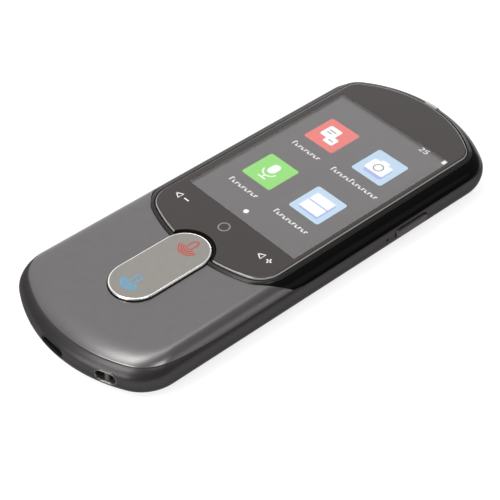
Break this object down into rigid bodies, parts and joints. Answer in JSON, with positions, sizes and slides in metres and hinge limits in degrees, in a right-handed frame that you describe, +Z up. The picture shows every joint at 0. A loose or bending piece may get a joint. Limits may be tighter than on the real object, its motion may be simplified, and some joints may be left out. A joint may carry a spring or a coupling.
{
  "type": "handheld translator",
  "caption": "Flat pocket translator: screen under a cover glass in a gloss bezel, a two-way talk rocker on a satin front cover, a side key, a charging socket and a lanyard eyelet.",
  "frame": {"origin": "on the back face, below the middle of the body", "axes": "+X across the body towards the side key, +Y along the body towards the top end, +Z up out of the screen"},
  "size_m": [0.0608, 0.1482, 0.0124],
  "materials": {
    "rear_paint": "satin dark metallic paint",
    "front_metal": "satin anodised, dark silver",
    "bezel_gloss": "gloss black",
    "glass": "clear, printed black round the window",
    "black_plastic": "moulded",
    "panel": "lit display",
    "white_plastic": "moulded",
    "foam": "soft foam",
    "flex": "film with copper",
    "sheet_metal": "pressed sheet",
    "steel": "plain",
    "board": "solder mask",
    "contact": "gold plated",
    "foil": "wrapped foil",
    "mesh": "woven mesh",
    "eyelet_metal": "polished",
    "key_metal": "satin with polished edge",
    "key_dark": "dark satin",
    "lens": "clear moulded",
    "lamp": "phosphor"
  },
  "bodies": {
    "body": {"rear_cover": "rear_paint", "front_cover": "front_metal", "bezel_frame": "bezel_gloss", "cover_glass": "glass", "glass_adhesive": "black_plastic", "display_panel": "panel", "backlight_unit": "white_plastic", "display_foam": "foam", "display_flex": "flex", "display_connector": "white_plastic", "chassis": "sheet_metal", "chassis_screws": "steel", "main_board": "board", "shield_cans": "sheet_metal", "side_microphone": "contact", "battery": "foil", "battery_pad": "foam", "link_flex": "flex", "speaker_box": "black_plastic", "speaker_mesh": "mesh", "socket_board": "board", "socket_board_screws": "steel", "usb_shell": "steel", "usb_tongue": "black_plastic", "lower_microphone": "contact", "lanyard_eyelet": "eyelet_metal", "lanyard_post": "eyelet_metal", "rocker_bearings": "black_plastic", "rocker_board": "flex", "talk_switches": "steel", "side_switch": "steel", "camera_module": "black_plastic", "camera_window": "glass", "camera_ring": "key_metal", "flash_lens": "lens", "flash_lamp": "lamp", "antenna_flex": "flex", "vibration_motor": "steel", "status_light_guide": "lens"},
    "talk_rocker": {"rocker_key": "key_metal", "rocker_carrier": "black_plastic"},
    "side_key": {"side_key": "key_dark", "side_switch_plunger": "white_plastic"}
  },
  "joints": [
    {"name": "rocker_tilt", "type": "hinge", "parent": "body", "child": "talk_rocker", "pos_m": [0, -0.0367, 0.00905], "axis": [1, 0, 0], "range_deg": [-1.4, 1.4], "stiffness_Nm_per_rad": 0.7},
    {"name": "side_key_press", "type": "slide", "parent": "body", "child": "side_key", "axis": [-1, 0, 0], "range_m": [0, 0.0004], "stiffness_N_per_m": 4000}
  ]
}
